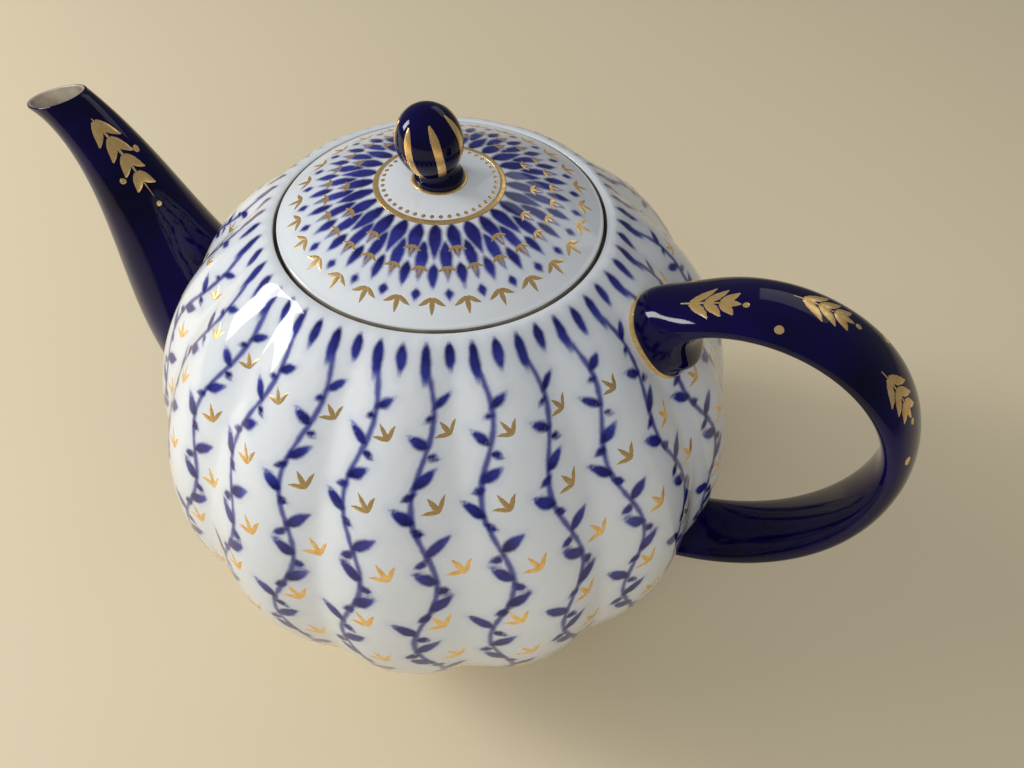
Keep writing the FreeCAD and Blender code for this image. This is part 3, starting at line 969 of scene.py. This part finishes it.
def makeLid():
    cols, seat, hollow, wall = (lid[key] for key in ("columns", "seat", "hollow", "wall"))
    radius = np.linspace(lid["hub"], domeRadius, lid["rows"])
    top = turnedRings(np.column_stack([radius, domeHeight(radius)]), cols)
    paint = lidPaint(*np.meshgrid(roundAngles(cols), radius))
    edge = arcPoints((domeRadius, lid["edgeBase"]), lid["edgeRound"], lid["edgeFrom"], 0)
    lead = hollow - lid["hollowLead"]
    low = roundedProfile([
        edge[-1], (lid["radius"], seat), (lid["collarOuter"], seat), (hollow, seat),
        (hollow, domeHeight(hollow) - wall), (lead, domeHeight(lead) - wall)], lid["cornerRound"])
    innerRadius = np.linspace(lead - lid["hollowGap"], lid["hub"], num=12)
    under = np.column_stack([innerRadius, domeHeight(innerRadius) - wall])
    rest = turnedRings(np.concatenate([edge, low[1:], under]), cols)
    plain = np.full((len(rest), cols), unpainted)
    piece = ringMesh("domedLid", np.concatenate([top, rest]), fields={
        field: np.concatenate([values, plain]) for field, values in paint.items()})
    fit(piece, "lid", paintedGlaze, "white_glaze", "lid")
    reach, degrees, hole = lid["steamHole"]
    place = reach * math.cos(math.radians(degrees)), reach * math.sin(math.radians(degrees))
    boreHoles(piece, (*place, seat), (*place, lid["crown"] + lid["cutPast"]), hole)
    # The lid's side wall takes the dark seat material: painted shade of the gap round the lid, with tea stain
    paintZone(piece, seatStainAndShade, lid["stainShadeRadii"], lid["stainShadeHeights"])


def makeCollar():
    o, i, b, t = lid["collarOuter"], lid["hollow"], lid["collarBase"], lid["seat"]
    profile = [(i, t), (i, b), (o, b), (o, t), ((o + i) / 2, t), (i, t)]
    bareRing("lidCollar", "lid", "lid_flange", profile, lid["collarRound"], lid["collarColumns"])


# Gold on the lid: a ring, beads inside it and sprigs among the petals
lidGold = {
    "ringRadius": 13.6, "ringHalf": 0.65,
    "beads": 42, "beadsAt": 12.1, "beadRadius": 0.5, "holeGap": 0.9,
    "leaves": (
        (0, -0.3, 3.6, 1.1, 0), (0.2, -0.3, 3.0, 1.0, 55, 20), (-0.2, -0.3, 3.0, 1.0, -55, -20)),
    # Rings of sprigs by count, shift, reach and size
    "rings": ((28, 0.0, 30.4, 1.0), (28, 0.5, 24.0, 0.72), (14, 0.0, 19.6, 0.72)),
}


def makeLidGold():
    goldBand("goldLidRing", "lid", lidSkin, lidGold["ringRadius"], lidGold["ringHalf"])
    turn, beadsAt = roundAngles(lidGold["beads"]), lidGold["beadsAt"]
    reach, degrees, hole = lid["steamHole"]
    fromHole = np.abs(beadsAt * np.exp(1j * turn) - reach * np.exp(1j * math.radians(degrees)))
    beads = np.column_stack([turn, np.full(len(turn), beadsAt)])[fromHole > hole + lidGold["holeGap"]]
    goldStrokes("goldLidBeads", "lid", lidSkin, beads, dotStroke(0, 0, lidGold["beadRadius"])[None])
    motif = np.stack([leafStroke(*leaf) for leaf in lidGold["leaves"]])
    angle, reach, size = np.concatenate([
        np.broadcast_arrays(roundAngles(count, shift), *rest)
        for count, shift, *rest in lidGold["rings"]], axis=1)
    goldStrokes("goldLidSprigs", "lid", lidSkin, np.column_stack([angle, reach]), motif, size, around=4)


# Knob with its gold bars
knob = {
    "radius": 7.05, "half": 8.0, "middle": 140.6, "eggFrom": 0.12, "eggShort": 0.03,
    "footRadius": 5.3, "footHeight": 1.6, "neckRadius": 4.5, "round": 0.4,
    "stem": ((1.0, -0.2), (5.3, -0.2), (5.3, 1.3), (4.6, 1.7), (4.5, 2.4)),     # radius, height over the dome
    "stemTop": (4.6, 0.4),      # radius, distance below the egg
    "lean": 10.5, "leanHeading": 204.5,
    "leanFrom": 0.5,        # share of the foot's height
    "columns": 96, "stripes": 7, "stripeTurn": 0.15, "stripeHalf": 0.86,
    "stripeRise": (-46.0, 48.0),    # degrees
    "tipShare": 4, "tipBlunt": 0.03,    # one part in four narrows; the blunt end's width, squared
    "lineOut": 0.25, "lineHalf": 0.45,
}
knobBase = float(domeHeight(knob["footRadius"]))
neckAngle = -math.acos(knob["neckRadius"] / knob["radius"])


def leanOver(points):
    # Turn about a level axis through the foot, from nothing there to the full lean
    heading = math.radians(knob["leanHeading"])
    axis = np.array((-math.sin(heading), math.cos(heading), 0.0))
    arm = points - (0, 0, knobBase)
    rise = np.clip((arm[..., 2:] - knob["leanFrom"] * knob["footHeight"]) / knob["footHeight"], 0, 1)
    turn = math.radians(knob["lean"]) * rise * rise * (3 - 2 * rise)
    along = (arm @ axis)[..., None] * axis
    turned = arm * np.cos(turn) + np.cross(axis, arm) * np.sin(turn) + along * (1 - np.cos(turn))
    return turned + (0, 0, knobBase)


def eggProfile(rise):
    # Radius and height of the upright egg by its ellipse angle
    return knob["radius"] * np.cos(rise), knob["middle"] + knob["half"] * np.sin(rise)


def knobSkin(angle, rise):
    # The leaning egg by angle and ellipse angle
    radius, height = eggProfile(rise)
    return leanOver(polar(angle, radius, height))


def makeKnob():
    rise = np.linspace(neckAngle + knob["eggFrom"], math.pi / 2 - knob["eggShort"], num=44)
    egg = np.column_stack(eggProfile(rise))
    topRadius, below = knob["stemTop"]
    stem = roundedProfile([
        *np.array(knob["stem"]) + (0, knobBase), (topRadius, egg[0][1] - below), egg[0]], knob["round"])
    rings = leanOver(turnedRings(np.concatenate([stem[:-1], egg]), knob["columns"]))
    fit(ringMesh("eggKnob", rings), "lid", cobaltGlaze, "cobalt_glaze", "lid_knob")


def makeKnobGold():
    # Bars of even width from the neck up, their last quarter narrowing to a rounded tip
    t = np.linspace(0, 1, num=32)
    low, high = np.radians(knob["stripeRise"])
    rise = low + (high - low) * t
    half = knob["stripeHalf"] * np.sqrt(np.clip((1 - t) * knob["tipShare"], knob["tipBlunt"], 1))
    stripe = np.column_stack([0 * rise, rise * knob["half"], half])[None]
    turn = roundAngles(knob["stripes"], knob["stripeTurn"])
    anchors = np.column_stack([turn, 0 * turn])
    goldStrokes("goldKnobStripes", "lid", knobSkin, anchors, stripe, thick=0.08, around=8)
    lineAt = knob["footRadius"] + knob["lineOut"]
    goldBand("goldKnobFoot", "lid", lidSkin, lineAt, knob["lineHalf"], thick=0.22, cols=knob["columns"])


makeLid()
makeLidGold()
makeCollar()
makeKnob()
makeKnobGold()
print("lid made")


# Floor, light and background
stage = {
    "floor": (0.74, 0.63, 0.43), "floorRoughness": 0.55,
    "floorReach": 12.0,     # metres from the middle to each edge
    "world": (0.97, 0.98, 1.0), "worldStrength": 0.14,
    "lamps": (      # name, place, target, size in metres, watts, whether the gloss mirrors it
        ("windowLeft", (-0.88, -0.26, 0.50), (0, 0, 0.06), (0.22, 0.40), 4.6, True),
        ("windowSoft", (-1.25, -0.37, 0.74), (0, 0, 0.06), (1.1, 0.8), 8.2, False),
        ("windowBack", (0.10, 0.90, 0.75), (0, 0, 0.08), (0.7, 0.4), 0.7, True),
        ("softFill", (0.28, -0.78, 0.70), (0, 0, 0.06), (0.9, 0.9), 4.9, False),
        ("skySoft", (0.02, 0.0, 1.5), (0, 0, 0.0), (2.0, 2.0), 3.7, False),
    ),
}


def makeFloor():
    mesh = bpy.data.meshes.new("tableTop")
    far = stage["floorReach"]
    mesh.from_pydata([(-far, -far, 0), (far, -far, 0), (far, far, 0), (-far, far, 0)], [], [(0, 1, 2, 3)])
    floor = bpy.data.objects.new("tableTop", mesh)
    scene.collection.objects.link(floor)
    material, _, shader = newMaterial("paleTable")
    shader.inputs["Base Color"].default_value = (*stage["floor"], 1)
    shader.inputs["Roughness"].default_value = stage["floorRoughness"]
    mesh.materials.append(material)


def makeWorld():
    world = bpy.data.worlds.new("softRoom")
    world.use_nodes = True
    back = world.node_tree.nodes["Background"]
    back.inputs["Color"].default_value = (*stage["world"], 1)
    back.inputs["Strength"].default_value = stage["worldStrength"]
    scene.world = world


def addLamp(name, place, target, size, power, mirrored):
    data = bpy.data.lights.new(name, "AREA")
    data.shape = "RECTANGLE"
    data.size, data.size_y = size
    data.energy = power
    back = unit(np.array(place, float) - np.array(target, float))
    side = unit(np.cross((0, 0, 1), back))
    addAimed(name, data, side, np.cross(back, side), back, place).visible_glossy = mirrored


makeFloor()
makeWorld()
for lamp in stage["lamps"]:
    addLamp(*lamp)
scene.view_settings.view_transform = "Standard"
print("stage made")
